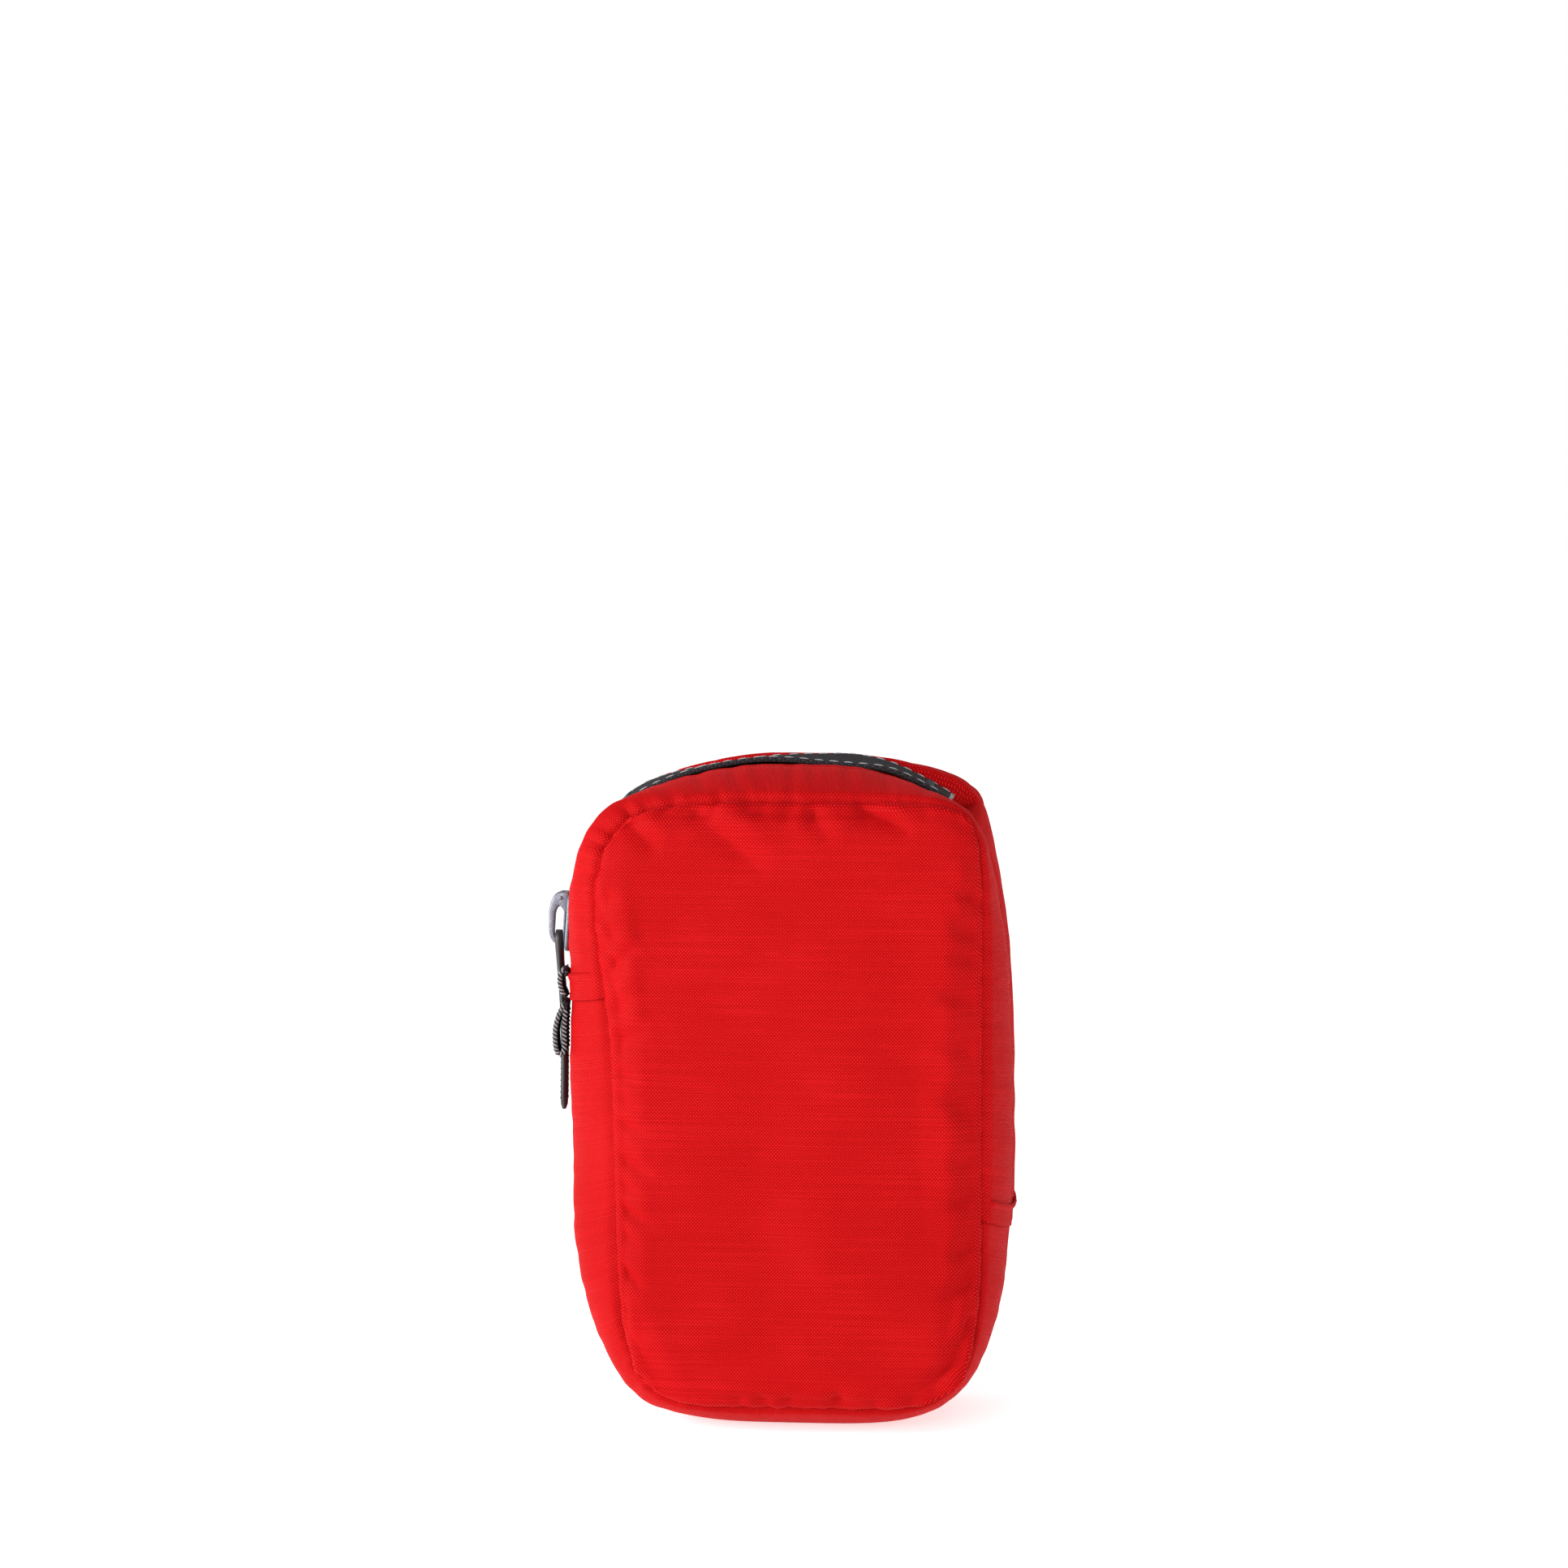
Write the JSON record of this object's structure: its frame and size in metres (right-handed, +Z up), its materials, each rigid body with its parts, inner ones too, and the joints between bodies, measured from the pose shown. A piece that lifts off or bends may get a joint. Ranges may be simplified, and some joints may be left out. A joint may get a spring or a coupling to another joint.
{
  "type": "first aid kit pouch",
  "caption": "Soft red zipped pouch with a fold-down lid, webbing carry handle, zip pull and end tab, packed with dressings, rolls, scissors and tweezers.",
  "frame": {"origin": "centre of the flat patch that the pouch stands on", "axes": "+Z up along the pouch's height, +Y from the front panel to the back panel, +X to the right of the front panel"},
  "size_m": [0.1264, 0.057, 0.1813],
  "materials": {
    "panel_fabric": "matte woven nylon, bright red",
    "shell_fabric": "matte woven nylon, bright red",
    "webbing": "charcoal polyester webbing with pale edge stitches",
    "lining_fabric": "grey taffeta",
    "foam": "off-white polyethylene foam",
    "mesh_fabric": "black polyester mesh",
    "zip_tape": "black woven tape",
    "zip_coil": "black nylon coil",
    "slider_metal": "gunmetal enamel with a fine speckle",
    "pull_rubber": "smooth matte black",
    "elastic": "black woven elastic",
    "steel": "brushed stainless",
    "grip_plastic": "satin red plastic",
    "gauze": "white open gauze",
    "crepe": "tan crepe",
    "core_card": "grey-brown card",
    "adhesive_tape": "white zinc-oxide tape",
    "foil": "folded metallised film",
    "film": "pale sealed film",
    "paper": "white sterile paper"
  },
  "bodies": {
    "case": {"front_panel_lower": "panel_fabric", "back_panel": "panel_fabric", "back_gusset": "shell_fabric", "base_gusset": "shell_fabric", "front_foam_lower": "foam", "back_foam": "foam", "front_lining_lower": "lining_fabric", "back_lining": "lining_fabric", "front_binding_lower": "elastic", "back_binding": "elastic", "zip_tape_back": "zip_tape", "zip_coil_back": "zip_coil", "zip_end_curl": "webbing", "handle_end_left": "webbing", "handle_end_right": "webbing", "back_mesh_pocket": "mesh_fabric", "organiser_card": "lining_fabric", "scissors_blade_fixed": "steel", "scissors_grip_fixed": "grip_plastic", "scissors_rivet": "steel", "scissors_loop": "elastic", "tweezers_arm_fixed": "steel", "tweezers_loop": "elastic", "gauze_roll": "gauze", "elastic_bandage": "crepe", "gauze_roll_band": "elastic", "bandage_band": "elastic", "tape_core": "core_card", "tape_roll": "adhesive_tape", "rescue_blanket": "foil", "triangular_bandage": "film", "gloves_packet": "film", "compress_large": "paper", "compress_small": "paper"},
    "lid": {"front_panel_upper": "panel_fabric", "front_gusset": "shell_fabric", "front_foam_upper": "foam", "front_lining_upper": "lining_fabric", "front_binding_upper": "elastic", "zip_tape_front": "zip_tape", "zip_coil_front": "zip_coil", "lid_mesh_pocket": "mesh_fabric", "plaster_packet": "paper", "wipe_packet": "paper", "burn_gel_sachet": "film"},
    "slider": {"zip_slider": "slider_metal"},
    "ring": {"pull_ring": "slider_metal"},
    "strip": {"pull_strip": "pull_rubber"},
    "tab": {"zip_end_loop": "webbing"},
    "handle": {"handle_grip": "webbing"},
    "scissors_half": {"scissors_blade_moving": "steel", "scissors_grip_moving": "grip_plastic"},
    "tweezers_half": {"tweezers_arm_moving": "steel"}
  },
  "joints": [
    {"name": "lid_fold", "type": "hinge", "parent": "case", "child": "lid", "pos_m": [0, -0.029, 0.08775], "axis": [0.8959, 0, -0.4442], "range_deg": [0, 105]},
    {"name": "slider_travel", "type": "slide", "parent": "case", "child": "slider", "axis": [0.1049, 0, 0.9945], "range_m": [0, 0.01]},
    {"name": "ring_swing", "type": "hinge", "parent": "slider", "child": "ring", "pos_m": [-0.06291, 0, 0.14133], "axis": [0, 1, 0], "range_deg": [0, 120]},
    {"name": "strip_swing", "type": "hinge", "parent": "ring", "child": "strip", "pos_m": [-0.064, 0, 0.12958], "axis": [1, 0, 0], "range_deg": [0, 80]},
    {"name": "tab_swing", "type": "hinge", "parent": "case", "child": "tab", "pos_m": [-0.0606, -0.0067, 0.1146], "axis": [0, 1, 0], "range_deg": [0, 100]},
    {"name": "handle_lift", "type": "slide", "parent": "case", "child": "handle", "axis": [0, 0, 1], "range_m": [0, 0.008]},
    {"name": "scissors_open", "type": "hinge", "parent": "case", "child": "scissors_half", "pos_m": [0.008, -0.0122, 0.096], "axis": [0, -1, 0], "range_deg": [0, 35]},
    {"name": "tweezers_squeeze", "type": "hinge", "parent": "case", "child": "tweezers_half", "pos_m": [0.0369, -0.0122, 0.093], "axis": [0, 1, 0], "range_deg": [0, 4], "stiffness_Nm_per_rad": 0.05}
  ]
}
